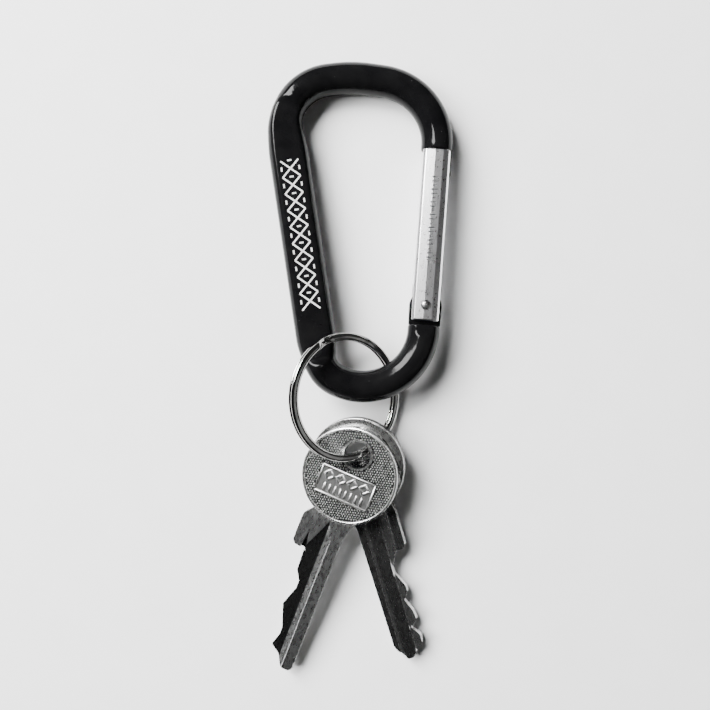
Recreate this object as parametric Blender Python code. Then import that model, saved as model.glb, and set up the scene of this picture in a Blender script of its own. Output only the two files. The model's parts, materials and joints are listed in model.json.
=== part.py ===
"""Carabiner keyring: a sprung-gate carabiner, a split ring and two cylinder keys, lying at rest.

Lengths are in metres, +Z is up and the object lies on z = 0. The carabiner's top end touches the
surface and its lower end is held up by the split ring, which leans on the spine. Flat parts are drawn
in their own plane and then placed by an empty.
"""
import bpy
import math
from mathutils import Matrix, Vector

MM = 0.001
GAP = 0.3 * MM                       # clearance between neighbouring pieces

# Carabiner, in its own plane: x across, y from the keys towards the top, z through the rod
ROD = 7.5 * MM                       # diameter of the round rod
CORNERS = [                          # centreline corners and their bend radii, hinge side first
    (14.5 * MM, -14.75 * MM, 14.2 * MM),
    (-7.9 * MM, -4.3 * MM, 7.5 * MM),
    (-18.2 * MM, 64.1 * MM, 11.5 * MM),
    (-0.8 * MM, 66.5 * MM, 32.0 * MM),
    (20.52 * MM, 63.3 * MM, 14.9 * MM),
]
BEND_STEP = math.radians(6.5)        # turn between sections in a bend
STRAIGHT_STEP = 6.0 * MM             # about how far apart sections are on a straight stretch
SPINE_WIDTH = 9.4 * MM               # the spine is pressed flat
SPINE_THICKNESS = 5.3 * MM
SPINE_CORNER = 2.0 * MM
SPINE_LOW = -3.0 * MM                # where the flat starts and ends
SPINE_HIGH = 60.0 * MM
SPINE_LOW_CHANGE = 7.0 * MM          # length over which the round rod flattens
SPINE_HIGH_CHANGE = 13.0 * MM
CARABINER_TILT = math.atan(0.05)     # top end down
CARABINER_LIFT = 7.07 * MM           # height of the carabiner's own origin
PIVOT_Y = 11.4 * MM                  # gate pivot, on the gate line
NOSE_Y = 49.3 * MM                   # where the nose's full section ends

# Gate, hinge lug and nose tongue: y runs along the gate from the pivot
GATE_WIDTH = 6.4 * MM
GATE_THICKNESS = 6.5 * MM
GATE_CORNER = 2.1 * MM
GATE_LOW = -3.5 * MM
GATE_HIGH = 37.0 * MM
GATE_CHAMFER = 1.0 * MM
LUG_RADIUS = 3.8 * MM
LUG_FLAT = 3.0 * MM                  # the plunger's flat, this far above the pivot
LUG_THICKNESS = 2.4 * MM
LUG_STEP = math.radians(11)          # turn between the lug's sections
LUG_CORNER = 0.3 * MM
LUG_SHOULDER = -4.5 * MM
LUG_SHOULDER_HALF_WIDTH = 3.7 * MM
HINGE_FLAT_LOW = -8.2 * MM           # the rod beside the lug is pressed a little flat down to here
HINGE_FLAT_THICKNESS = 6.2 * MM
HINGE_FLAT_CORNER = 1.9 * MM
HINGE_FLAT_CHAMFER = 0.5 * MM
HINGE_SLOT_HIGH = 4.7 * MM
TONGUE_THICKNESS = 2.2 * MM
TONGUE_LOW = 31.4 * MM
TONGUE_INNER = -1.85 * MM
TONGUE_OUTER = 3.6 * MM
TONGUE_SLANT = 1.1 * MM
TONGUE_CORNER = 0.3 * MM
NOSE_SLOT_LOW = 30.6 * MM
NOSE_SLOT_INNER = -2.0 * MM
RIVET_RADIUS = 1.1 * MM
RIVET_CLEARANCE = 0.1 * MM
RIVET_LENGTH = 6.9 * MM
RIVET_DOME = 0.2 * MM

# Gate spring and its plunger, in the gate's bore
BORE_RADIUS = 1.7 * MM
BORE_END = 19.0 * MM
PLUNGER_TIP = 3.05 * MM
PLUNGER_STEM_RADIUS = 1.0 * MM
PLUNGER_HEAD_RADIUS = 1.5 * MM
PLUNGER_HEAD_LOW = 5.0 * MM
PLUNGER_HEAD_HIGH = 6.0 * MM
PLUNGER_GUIDE_RADIUS = 0.7 * MM
PLUNGER_GUIDE_END = 9.0 * MM
SPRING_WIRE = 0.4 * MM
SPRING_RADIUS = 1.25 * MM
SPRING_LOW = 6.3 * MM
SPRING_HIGH = 18.6 * MM
SPRING_TURNS = 8

# Split ring, in its own plane
RING_RADIUS = 15.0 * MM              # outer
RING_WIRE_WIDTH = 1.8 * MM           # radial
RING_WIRE_HEIGHT = 0.95 * MM         # one coil
RING_COIL_PITCH = 1.05 * MM
RING_WIRE_CORNER = 0.3 * MM
RING_CENTRE = Vector((-2.05, -9.8, 9.22)) * MM
RING_TILT = math.radians(34)         # left side up
RING_END_ANGLE = math.radians(112)   # where the upper coil's free end lies
RING_JOGGLE = math.radians(13)       # the stretch in which the wire climbs from coil to coil
RING_JOGGLE_STEPS = 5
RING_STEP = math.radians(7.5)        # turn between sections elsewhere
RING_END_GAP = math.radians(2)       # between a coil's end and the climbing stretch
RING_HINGE = Vector((0.0, -4.0, 8.0)) * MM

# Keys, each drawn in its own plane: x across, y from the tip towards the bow, from the bow's centre
KEY_THICKNESS = 2.2 * MM
GROOVE_INNER = 0.4 * MM              # the milled groove runs beside the blade's middle
GROOVE_OUTER = 1.9 * MM
GROOVE_DEPTH = 0.6 * MM
GROOVE_TOP = -15.0 * MM
GROOVE_PAST_TIP = -60.0 * MM
BOW_STEPS = 44
HOLE_STEPS = 12                      # in half a turn

# How far the modelled axes are moved so that the object stands centred over the origin
REST_SHIFT = Vector((-1.2334, 2.846, -0.0186)) * MM


def clear_scene():
    """Remove every object so the script can be run again."""
    for item in list(bpy.data.objects):
        bpy.data.objects.remove(item, do_unlink=True)


def material(name, colour, metallic, roughness):
    """Return a Principled material of one colour."""
    made = bpy.data.materials.new(name)
    made.use_nodes = True
    shader = made.node_tree.nodes["Principled BSDF"]
    shader.inputs["Base Color"].default_value = (*colour, 1.0)
    shader.inputs["Metallic"].default_value = metallic
    shader.inputs["Roughness"].default_value = roughness
    made.diffuse_color = (*colour, 1.0)
    return made


def empty(name, matrix, parent=None):
    """Add an empty at matrix, which is relative to its parent."""
    made = bpy.data.objects.new(name, None)
    made.empty_display_size = 3 * MM
    bpy.context.collection.objects.link(made)
    made.parent = parent
    made.matrix_local = matrix
    return made


def mesh_object(name, vertices, faces, parent, surface=None):
    """Add a mesh object, shaded smooth except at sharp edges."""
    mesh = bpy.data.meshes.new(name)
    mesh.from_pydata([tuple(v) for v in vertices], [], faces)
    mesh.update()
    mesh.shade_smooth()
    mesh.set_sharp_from_angle(angle=math.radians(35))
    made = bpy.data.objects.new(name, mesh)
    bpy.context.collection.objects.link(made)
    made.parent = parent
    if surface:
        mesh.materials.append(surface)
    return made


def loft(rings, closed=False):
    """Join equal rings of points by quads, with an n-gon cap at each end unless closed."""
    count = len(rings[0])
    vertices = [point for ring in rings for point in ring]
    faces = []
    spans = len(rings) if closed else len(rings) - 1
    for i in range(spans):
        low = i * count
        high = ((i + 1) % len(rings)) * count
        for j in range(count):
            k = (j + 1) % count
            faces.append((low + j, low + k, high + k, high + j))
    if not closed:
        last = (len(rings) - 1) * count
        faces.append(tuple(reversed(range(count))))
        faces.append(tuple(last + j for j in range(count)))
    return vertices, faces


def rounded_rectangle(width, height, corner, steps=3):
    """Points of a rounded rectangle about the origin, counter-clockwise."""
    corner = min(corner, width / 2 - 1e-6, height / 2 - 1e-6)
    points = []
    for quarter in range(4):
        centre_x = (width / 2 - corner) * (1 if quarter in (0, 3) else -1)
        centre_y = (height / 2 - corner) * (1 if quarter in (0, 1) else -1)
        for step in range(steps + 1):
            angle = math.pi / 2 * (quarter + step / steps)
            points.append((centre_x + corner * math.cos(angle), centre_y + corner * math.sin(angle)))
    return points


def extrude_outline(points, low, high):
    """Vertices and faces of an outline in x, y drawn counter-clockwise, between two heights."""
    return loft([[(x, y, z) for x, y in points] for z in (low, high)])


def cutter(name, target, vertices, faces):
    """Cut a closed shape, given in the target's own axes, out of the target."""
    tool = mesh_object(name, vertices, faces, target)
    tool.hide_render = True
    tool.display_type = "WIRE"
    cut = target.modifiers.new(name, "BOOLEAN")
    cut.operation = "DIFFERENCE"
    cut.solver = "EXACT"
    cut.object = tool
    return tool


def box(x_range, y_range, z_range):
    """Vertices and faces of a box."""
    outline = [(x_range[0], y_range[0]), (x_range[1], y_range[0]), (x_range[1], y_range[1]),
               (x_range[0], y_range[1])]
    return extrude_outline(outline, *z_range)


def circle(radius, count, centre=(0.0, 0.0)):
    """Points of a circle, counter-clockwise."""
    turn = 2 * math.pi / count
    return [(centre[0] + radius * math.cos(turn * i), centre[1] + radius * math.sin(turn * i))
            for i in range(count)]


def turned_along_y(profile, count):
    """Loft circles of (radius, y) about the y axis."""
    rings = []
    for radius, y in profile:
        rings.append([(x, y, -z) for x, z in circle(radius, count)])
    return loft(rings)


def blend(value, start, end):
    """Smooth step from 0 at start to 1 at end."""
    amount = max(0.0, min(1.0, (value - start) / (end - start)))
    return amount * amount * (3 - 2 * amount)


# ---------------------------------------------------------------------------------- carabiner body

def gate_line():
    """The gate line's pivot point and its direction towards the nose, in the carabiner's plane."""
    low = Vector(CORNERS[0][:2])
    high = Vector(CORNERS[-1][:2])
    along = (high - low).normalized()
    pivot = low + along * ((PIVOT_Y - low.y) / along.y)
    return pivot, along


def gate_matrix():
    """Axes of the gate in the carabiner's plane: y along the gate, x outwards."""
    pivot, along = gate_line()
    turn = math.atan2(along.y, along.x) - math.pi / 2
    return Matrix.Translation((pivot.x, pivot.y, 0)) @ Matrix.Rotation(turn, 4, "Z")


def bend(before, corner, after, radius, steps):
    """Points and directions along the arc that rounds a corner."""
    entering = (corner - before).normalized()
    leaving = (after - corner).normalized()
    turn = entering.angle_signed(leaving)
    reach = radius * math.tan(abs(turn) / 2)
    side = Vector((-entering.y, entering.x)) * (-1 if turn > 0 else 1)
    start = corner - entering * reach
    centre = start + side * radius
    stations = []
    for step in range(steps + 1):
        angle = -turn * step / steps
        arm = Matrix.Rotation(angle, 2) @ (start - centre)
        heading = Matrix.Rotation(angle, 2) @ entering
        stations.append((centre + arm, heading))
    return stations


def rod_stations():
    """Centreline stations from the hinge to the nose: point and direction."""
    pivot, along = gate_line()
    nose = pivot + along * ((NOSE_Y - PIVOT_Y) / along.y)
    turning = [Vector(corner[:2]) for corner in CORNERS]
    path = [pivot, *turning, nose]
    stations = []
    for index, (_, _, radius) in enumerate(CORNERS):
        before, corner, after = path[index:index + 3]
        angle = (corner - before).angle(after - corner)
        steps = max(4, round(angle / BEND_STEP))
        arc = bend(before, corner, after, radius, steps)
        if stations:
            stations += straight(stations[-1], arc[0][0])
        stations += arc
    stations.append((nose, (nose - turning[-1]).normalized()))
    return stations


def straight(start, end):
    """Stations along a straight stretch, not counting its two ends."""
    point, heading = start
    length = (end - point).length
    count = int(length / STRAIGHT_STEP)
    return [(point + heading * (length * (i + 1) / (count + 1)), heading) for i in range(count)]


def section_ring(point, heading, width, thickness, corner, offset=0.0, slant=0.0):
    """A rounded rectangular section across the heading, as points in the carabiner's plane."""
    right = Vector((heading.y, -heading.x))
    ring = []
    for across, up in rounded_rectangle(width, thickness, corner):
        place = point + right * (across + offset) + heading * (slant * (across / width + 0.5))
        ring.append((place.x, place.y, -up))
    return ring


def lug_rings(pivot, along):
    """Sections of the hinge lug, from the plunger's flat down to its shoulder."""
    heading = -along
    rings = []
    angle = math.acos(LUG_FLAT / LUG_RADIUS)
    while angle < math.pi / 2:
        level = pivot + along * (LUG_RADIUS * math.cos(angle))
        width = 2 * LUG_RADIUS * math.sin(angle)
        rings.append(section_ring(level, heading, width, LUG_THICKNESS, LUG_CORNER))
        angle += LUG_STEP
    rings.append(section_ring(pivot, heading, 2 * LUG_RADIUS, LUG_THICKNESS, LUG_CORNER))
    shoulder = pivot + along * LUG_SHOULDER
    rings.append(section_ring(shoulder, heading, 2 * LUG_SHOULDER_HALF_WIDTH, LUG_THICKNESS, LUG_CORNER))
    return rings


def shoulder_rings(pivot, along):
    """Sections of the chamfered shoulder below the lug."""
    shoulder = pivot + along * LUG_SHOULDER
    rings = []
    for trim in (HINGE_FLAT_CHAMFER, 0.0):
        point = shoulder - along * (HINGE_FLAT_CHAMFER - trim)
        thickness = HINGE_FLAT_THICKNESS - trim
        rings.append(section_ring(point, -along, ROD - trim, thickness, HINGE_FLAT_CORNER))
    return rings


def flattening(point):
    """How far the rod is pressed flat at a point: 0 on the round rod and 1 along the spine."""
    if point.x > 0:
        return 0.0
    rising = blend(point.y, SPINE_LOW, SPINE_LOW + SPINE_LOW_CHANGE)
    falling = blend(point.y, SPINE_HIGH - SPINE_HIGH_CHANGE, SPINE_HIGH)
    return rising * (1 - falling)


def rod_section(point):
    """Width, thickness and corner radius of the rod where its centreline passes a point."""
    pivot, along = gate_line()
    if HINGE_FLAT_LOW < (point - pivot).dot(along) < 0 < point.x:
        return ROD, HINGE_FLAT_THICKNESS, HINGE_FLAT_CORNER
    flat = flattening(point)
    width = ROD + flat * (SPINE_WIDTH - ROD)
    thickness = ROD + flat * (SPINE_THICKNESS - ROD)
    corner = ROD / 2 + flat * (SPINE_CORNER - ROD / 2)
    return width, thickness, corner


def tongue_rings(pivot, along, nose):
    """Sections of the nose's tongue, whose end is cut at a slant."""
    middle = (TONGUE_INNER + TONGUE_OUTER) / 2
    width = TONGUE_OUTER - TONGUE_INNER
    end = pivot + along * TONGUE_LOW
    rings = []
    for point, slant in ((nose, 0.0), (end, -TONGUE_SLANT)):
        rings.append(section_ring(point, -along, width, TONGUE_THICKNESS, TONGUE_CORNER, -middle, slant))
    return rings


def build_carabiner(frame, surface):
    """The bent rod, with its pressed spine, hinge lug and nose tongue."""
    pivot, along = gate_line()
    stations = rod_stations()
    rings = lug_rings(pivot, along) + shoulder_rings(pivot, along)
    for point, direction in stations:
        rings.append(section_ring(point, direction, *rod_section(point)))
    rings += tongue_rings(pivot, along, stations[-1][0])
    body = mesh_object("carabiner_body", *loft(rings), frame, surface)
    hole = circle(RIVET_RADIUS + RIVET_CLEARANCE, 24, tuple(pivot))
    cutter("cut_lug_hole", body, *extrude_outline(hole, -ROD, ROD))
    return body


# -------------------------------------------------------------------------------------------- gate

def build_gate(hinge, surface):
    """The gate bar, slotted for the lug and the nose tongue and bored for the spring."""
    stations = [(GATE_LOW, 1 - 2 * GATE_CHAMFER / GATE_WIDTH), (GATE_LOW + GATE_CHAMFER, 1.0),
                (GATE_HIGH - GATE_CHAMFER, 1.0), (GATE_HIGH, 1 - 2 * GATE_CHAMFER / GATE_WIDTH)]
    section = rounded_rectangle(GATE_WIDTH, GATE_THICKNESS, GATE_CORNER)
    rings = [[(x * scale, y, -z * scale) for x, z in section] for y, scale in stations]
    gate = mesh_object("gate", *loft(rings), hinge, surface)
    wide = 2 * GATE_WIDTH
    hinge_slot = LUG_THICKNESS / 2 + GAP
    nose_slot = TONGUE_THICKNESS / 2 + GAP
    cutter("cut_hinge_slot", gate,
           *box((-wide, wide), (2 * GATE_LOW, HINGE_SLOT_HIGH), (-hinge_slot, hinge_slot)))
    cutter("cut_nose_slot", gate,
           *box((NOSE_SLOT_INNER, wide), (NOSE_SLOT_LOW, 2 * GATE_HIGH), (-nose_slot, nose_slot)))
    bore_start = HINGE_SLOT_HIGH - GAP
    cutter("cut_bore", gate, *turned_along_y([(BORE_RADIUS, bore_start), (BORE_RADIUS, BORE_END)], 20))
    cutter("cut_rivet_hole", gate, *extrude_outline(circle(RIVET_RADIUS + RIVET_CLEARANCE, 24), -ROD, ROD))
    return gate


def build_rivet(hinge, surface):
    """The hinge pin with its slightly domed ends."""
    half = RIVET_LENGTH / 2
    narrow = RIVET_RADIUS - RIVET_DOME
    profile = [(narrow, -half), (RIVET_RADIUS, RIVET_DOME - half), (RIVET_RADIUS, half - RIVET_DOME),
               (narrow, half)]
    rings = [[(x, y, z) for x, y in circle(radius, 24)] for radius, z in profile]
    return mesh_object("gate_rivet", *loft(rings), hinge, surface)


def build_plunger(slide, surface):
    """The spring's plunger, with a domed tip towards the lug."""
    radius = PLUNGER_STEM_RADIUS
    profile = []
    for degrees in (15, 40, 65, 90):
        angle = math.radians(degrees)
        profile.append((radius * math.sin(angle), PLUNGER_TIP + radius * (1 - math.cos(angle))))
    profile += [(radius, PLUNGER_HEAD_LOW), (PLUNGER_HEAD_RADIUS, PLUNGER_HEAD_LOW),
                (PLUNGER_HEAD_RADIUS, PLUNGER_HEAD_HIGH), (PLUNGER_GUIDE_RADIUS, PLUNGER_HEAD_HIGH),
                (PLUNGER_GUIDE_RADIUS, PLUNGER_GUIDE_END)]
    return mesh_object("gate_plunger", *turned_along_y(profile, 16), slide, surface)


def build_spring(hinge, surface):
    """The compression spring, one helical wire."""
    steps = 16 * SPRING_TURNS
    rings = []
    low = SPRING_LOW + SPRING_WIRE / 2
    rise = SPRING_HIGH - SPRING_LOW - SPRING_WIRE
    for step in range(steps + 1):
        share = step / steps
        angle = 2 * math.pi * SPRING_TURNS * share
        outward = Vector((math.cos(angle), 0, math.sin(angle)))
        centre = outward * SPRING_RADIUS + Vector((0, low + rise * share, 0))
        ring = []
        for x, y in circle(SPRING_WIRE / 2, 6):
            ring.append(centre + outward * x + Vector((0, y, 0)))
        rings.append(ring)
    return mesh_object("gate_spring", *loft(rings), hinge, surface)


# -------------------------------------------------------------------------------------- split ring

def build_ring(frame, surface):
    """Two coils of one flat wire, which climbs from the lower to the upper coil in one joggle."""
    middle = RING_RADIUS - RING_WIRE_WIDTH / 2
    climb_start = RING_END_ANGLE + 2 * math.pi
    climb_end = climb_start + RING_JOGGLE
    start = RING_END_ANGLE + RING_JOGGLE + RING_END_GAP
    end = RING_END_ANGLE + 4 * math.pi - RING_END_GAP
    angles = []
    angle = start
    while angle < end:
        angles.append(angle)
        climbing = climb_start - RING_END_GAP < angle < climb_end
        angle += RING_JOGGLE / RING_JOGGLE_STEPS if climbing else RING_STEP
    angles.append(end)
    rings = []
    section = rounded_rectangle(RING_WIRE_WIDTH, RING_WIRE_HEIGHT, RING_WIRE_CORNER, 2)
    for angle in angles:
        height = RING_COIL_PITCH * (blend(angle, climb_start, climb_end) - 0.5)
        outward = Vector((math.cos(angle), math.sin(angle), 0))
        ring = [outward * (middle + across) + Vector((0, 0, height + up)) for across, up in section]
        rings.append(ring)
    vertices, faces = loft(rings)
    faces = [tuple(reversed(face)) for face in faces]
    return mesh_object("split_ring", vertices, faces, frame, surface)


# -------------------------------------------------------------------------------------------- keys

class KeyPlan:
    """Sizes and place of one key. The bitting side is +x; mirrored turns it over to -x."""

    def __init__(self, name, bow_radius, hole, blade, mirrored, centre, heading, pitch, roll):
        self.name = name
        self.bow_radius = bow_radius
        self.hole_y, self.hole_radius, self.hole_reach = hole
        self.blade = blade
        self.side = -1 if mirrored else 1
        self.centre = Vector(centre) * MM
        self.heading = math.radians(heading)
        self.pitch = math.radians(pitch)
        self.roll = math.radians(roll)

    def axes(self):
        """The key's own axes at rest: x across to the right, y from the tip to the bow, z out of its face."""
        down = Vector((math.sin(self.heading), -math.cos(self.heading), 0))
        across = Vector((math.cos(self.heading), math.sin(self.heading), 0))
        to_tip = down * math.cos(self.pitch) - Vector((0, 0, 1)) * math.sin(self.pitch)
        normal = to_tip.cross(across)
        across = across * math.cos(self.roll) + normal * math.sin(self.roll)
        normal = to_tip.cross(across)
        matrix = Matrix((across, -to_tip, normal)).transposed().to_4x4()
        return Matrix.Translation(self.centre) @ matrix

    def outline(self):
        """The key's outline, counter-clockwise: the bow as an arc, then the blade's own points."""
        blade = [(x * MM, -y * MM) for x, y in self.blade]
        start = math.atan2(blade[0][1], blade[0][0])
        sweep = (math.atan2(blade[-1][1], blade[-1][0]) - start) % (2 * math.pi)
        points = []
        for step in range(1, BOW_STEPS):
            angle = start + sweep * step / BOW_STEPS
            points.append((self.bow_radius * math.cos(angle), self.bow_radius * math.sin(angle)))
        points += reversed(blade)
        if self.side < 0:
            points = [(-x, y) for x, y in reversed(points)]
        return points

    def hole(self):
        """The ring hole: a circle, or a slot with round ends."""
        if self.hole_reach == 0:
            return circle(self.hole_radius, 2 * HOLE_STEPS, (0, self.hole_y))
        points = []
        for end, start in ((1, -math.pi / 2), (-1, math.pi / 2)):
            for step in range(HOLE_STEPS + 1):
                angle = start + math.pi * step / HOLE_STEPS
                points.append((end * self.hole_reach + self.hole_radius * math.cos(angle),
                               self.hole_y + self.hole_radius * math.sin(angle)))
        return points

    def pivot(self):
        """Where the ring's wire passes through the key, in the key's own axes."""
        return Vector((self.hole_reach, self.hole_y, 0))


# Blade points are (across, along from the bow's centre to the tip) in millimetres, bitting side +x:
# the root of the bow, the stop, the cuts, the tip and the straight back.
FRONT_BLADE = [
    (5.2, 10.2), (6.9, 12.2), (7.1, 14.0), (7.1, 19.4), (6.3, 20.2), (3.8, 20.4), (3.6, 25.8), (2.2, 28.3),
    (2.2, 30.2), (3.8, 34.9), (1.9, 40.6), (1.9, 42.3), (2.8, 45.3), (0.6, 46.8), (-0.7, 48.9), (-1.5, 49.5),
    (-3.2, 49.5), (-3.9, 48.7), (-3.9, 15.0), (-4.8, 11.5), (-5.6, 10.0),
]
REAR_BLADE = [
    (5.6, 10.0), (6.0, 13.0), (6.0, 20.9), (5.2, 21.8), (3.5, 21.9), (1.4, 25.6), (1.4, 27.4), (3.3, 30.8),
    (3.3, 32.2), (1.9, 34.2), (3.3, 37.0), (3.6, 39.2), (1.5, 41.0), (3.3, 43.0), (3.3, 45.0), (1.4, 46.8),
    (0.2, 48.2), (-1.2, 48.3), (-1.7, 47.3), (-3.0, 46.0), (-3.7, 44.6), (-4.3, 15.0), (-4.9, 11.6),
    (-5.6, 10.0),
]


def key_plans():
    """Both keys, the front one lying over the rear one."""
    front = KeyPlan("front_key", 11.5 * MM, (5.35 * MM, 3.2 * MM, 0.0), FRONT_BLADE, True,
                    (-1.17, -28.36, 6.97), -21.06, 5.84, 11.54)
    rear = KeyPlan("rear_key", 11.6 * MM, (4.8 * MM, 3.3 * MM, 4.2 * MM), REAR_BLADE, False,
                   (0.52, -26.26, 4.05), 16.3, 2.32, 14.67)
    return front, rear


def build_key(plan, surface):
    """One key: outline, ring hole, rounded edges and the groove milled along its blade."""
    matrix = plan.axes()
    pivot = plan.pivot()
    place = Matrix.Translation(REST_SHIFT) @ matrix @ Matrix.Translation(pivot)
    holder = empty(plan.name + "_pivot", place)
    half = KEY_THICKNESS / 2
    vertices, faces = extrude_outline(plan.outline(), -half, half)
    moved = [Vector(v) - pivot for v in vertices]
    key = mesh_object(plan.name, moved, faces, holder, surface)
    hole_vertices, hole_faces = extrude_outline(plan.hole(), -2 * half, 2 * half)
    cutter("cut_hole_" + plan.name, key, [Vector(v) - pivot for v in hole_vertices], hole_faces)
    sides = sorted((plan.side * GROOVE_INNER, plan.side * GROOVE_OUTER))
    groove_vertices, groove_faces = box(sides, (GROOVE_PAST_TIP, GROOVE_TOP), (half - GROOVE_DEPTH, 2 * half))
    cutter("cut_groove_" + plan.name, key, [Vector(v) - pivot for v in groove_vertices], groove_faces)
    return key


def main():
    """Build and place every piece."""
    clear_scene()
    black = material("black_anodised", (0.012, 0.012, 0.013), 0.3, 0.25)
    bright = material("polished_aluminium", (0.78, 0.78, 0.79), 1.0, 0.25)
    steel = material("spring_steel", (0.45, 0.45, 0.46), 1.0, 0.3)
    nickel = material("nickel_plate", (0.62, 0.62, 0.62), 1.0, 0.22)
    brass = material("nickel_silver", (0.6, 0.59, 0.57), 1.0, 0.35)

    lift = Matrix.Translation(REST_SHIFT + Vector((0, 0, CARABINER_LIFT)))
    frame = empty("carabiner_frame", lift @ Matrix.Rotation(-CARABINER_TILT, 4, "X"))
    hinge = empty("gate_hinge_axis", gate_matrix(), frame)
    build_carabiner(frame, black)
    build_gate(hinge, bright)
    build_rivet(hinge, steel)
    build_plunger(hinge, steel)
    build_spring(hinge, steel)

    ring_axis = empty("ring_hinge_axis", Matrix.Translation(REST_SHIFT + RING_HINGE))
    lean = Matrix.Translation(RING_CENTRE - RING_HINGE) @ Matrix.Rotation(RING_TILT, 4, "Y")
    build_ring(empty("ring_plane", lean, ring_axis), nickel)
    for plan in key_plans():
        build_key(plan, brass)


main()
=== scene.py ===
"""Looks of the carabiner keyring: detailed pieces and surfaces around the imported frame.

Lengths are in metres. The carabiner, the gate, the split ring and each key are drawn in their own
plane and placed by the record's joints, so every piece sits where the frame has it.
"""
import json
import math
import bpy
from mathutils import Matrix, Vector


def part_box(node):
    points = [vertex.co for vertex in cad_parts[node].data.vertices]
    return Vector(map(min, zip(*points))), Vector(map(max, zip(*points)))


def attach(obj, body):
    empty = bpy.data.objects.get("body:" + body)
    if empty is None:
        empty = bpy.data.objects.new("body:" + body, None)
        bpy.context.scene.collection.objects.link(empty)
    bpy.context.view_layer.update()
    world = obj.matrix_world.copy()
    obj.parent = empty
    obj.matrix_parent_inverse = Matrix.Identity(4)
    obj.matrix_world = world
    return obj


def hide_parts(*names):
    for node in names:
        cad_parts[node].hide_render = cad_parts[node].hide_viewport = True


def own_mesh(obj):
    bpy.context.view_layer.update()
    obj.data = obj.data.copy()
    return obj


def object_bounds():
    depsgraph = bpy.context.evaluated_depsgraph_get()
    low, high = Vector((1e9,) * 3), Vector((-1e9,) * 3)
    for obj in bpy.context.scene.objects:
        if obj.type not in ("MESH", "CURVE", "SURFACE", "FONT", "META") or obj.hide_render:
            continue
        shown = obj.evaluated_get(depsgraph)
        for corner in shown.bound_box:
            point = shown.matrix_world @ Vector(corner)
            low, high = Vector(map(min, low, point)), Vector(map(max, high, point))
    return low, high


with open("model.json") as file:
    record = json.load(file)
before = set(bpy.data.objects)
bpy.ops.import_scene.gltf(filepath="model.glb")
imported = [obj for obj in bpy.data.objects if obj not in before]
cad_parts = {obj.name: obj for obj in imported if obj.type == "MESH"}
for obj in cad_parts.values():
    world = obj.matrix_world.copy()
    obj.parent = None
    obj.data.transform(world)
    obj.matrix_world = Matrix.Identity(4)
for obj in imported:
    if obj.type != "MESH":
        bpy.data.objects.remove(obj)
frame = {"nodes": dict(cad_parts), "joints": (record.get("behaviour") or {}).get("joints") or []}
cad_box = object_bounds()
joints = {joint["name"]: joint for joint in frame["joints"]}

MM = 0.001

# Carabiner, in its own plane: x across, y from the keys towards the top, z through the rod
ROD = 7.5 * MM
CORNERS = [  # centreline corners and their bend radii, hinge side first
    (14.5 * MM, -14.75 * MM, 14.2 * MM),
    (-7.9 * MM, -4.3 * MM, 7.5 * MM),
    (-18.2 * MM, 64.1 * MM, 11.5 * MM),
    (-0.8 * MM, 66.5 * MM, 32.0 * MM),
    (20.52 * MM, 63.3 * MM, 14.9 * MM),
]
BEND_STEP = math.radians(2.5)
STRAIGHT_STEP = 1.0 * MM
SECTION_POINTS = 72
SPINE_WIDTH = 9.4 * MM
SPINE_THICKNESS = 5.3 * MM
SPINE_EDGE = 0.35 * MM  # rounding where the pressed flat meets the rod's side
SPINE_LOW = -3.0 * MM  # where the rod starts and stops to be wide
SPINE_HIGH = 60.0 * MM
SPINE_LOW_CHANGE = 7.0 * MM
SPINE_HIGH_CHANGE = 13.0 * MM
PRESS_LOW = -3.4 * MM  # where the die's flat starts and stops
PRESS_HIGH = 61.0 * MM
PRESS_RUNOUT = 2.6 * MM
PIVOT_Y = 11.4 * MM
NOSE_Y = 49.3 * MM
NOSE_ROUNDING = 0.5 * MM
LUG_RADIUS = 3.8 * MM
LUG_FLAT = 3.0 * MM
LUG_THICKNESS = 2.4 * MM
LUG_CORNER = 0.25 * MM
LUG_SHOULDER = -4.5 * MM
LUG_EASE = 0.2 * MM  # the lug is this much narrower at its shoulder
HINGE_FLAT_LOW = -7.6 * MM
HINGE_FLAT_RUNOUT = 1.4 * MM
HINGE_FLAT_THICKNESS = 6.2 * MM
HINGE_CHAMFER = 0.5 * MM
TONGUE_THICKNESS = 2.2 * MM
TONGUE_LOW = 31.4 * MM
TONGUE_INNER = -1.85 * MM
TONGUE_OUTER = 3.6 * MM
TONGUE_SLANT = 1.1 * MM

# Printed band along the spine: a row of diamonds between ticks
BAND_START = 10.5 * MM  # along the carabiner, from low to high
BAND_END = 45.6 * MM
BAND_UNITS = 9
BAND_HEIGHT = 4.2 * MM  # across the spine
BAND_STROKE = 0.36 * MM
BAND_RAISE = 0.04 * MM
BAND_TICK = (0.38, 0.62)  # where a tick starts and ends, as shares of a unit
BAND_DASH = 0.12  # half a dash, as a share of a unit

# Gate, in its own axes: y along the gate from the pivot, x outwards
GATE_WIDTH = 6.4 * MM
GATE_THICKNESS = 6.5 * MM
GATE_LOW = -3.5 * MM
GATE_HIGH = 37.0 * MM
GATE_EDGE = 0.35 * MM
GATE_ROUNDING = 0.5 * MM  # rounding between the facets
GATE_FACETS = [  # upper corners, as shares of the half width and half thickness
    (1.0, 0.66), (0.84, 0.88), (0.45, 0.99), (-0.14, 1.0), (-0.84, 0.905), (-1.0, 0.70),
]
HINGE_SLOT_HIGH = 4.7 * MM
HINGE_SLOT = 3.0 * MM
NOSE_SLOT_LOW = 30.6 * MM
NOSE_SLOT_INNER = -2.0 * MM
NOSE_SLOT = 2.8 * MM
BORE_RADIUS = 1.7 * MM
BORE_OVERLAP = 0.3 * MM  # the bore starts this far inside the hinge slot
BORE_END = 19.0 * MM
RIVET_RADIUS = 1.1 * MM
RIVET_CLEARANCE = 0.1 * MM
RIVET_LENGTH = 6.9 * MM
RIVET_DOME = 0.35 * MM
RIVET_TIP = 0.12 * MM  # radius of the small flat on top of the dome
SPRING_WIRE = 0.4 * MM
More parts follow.
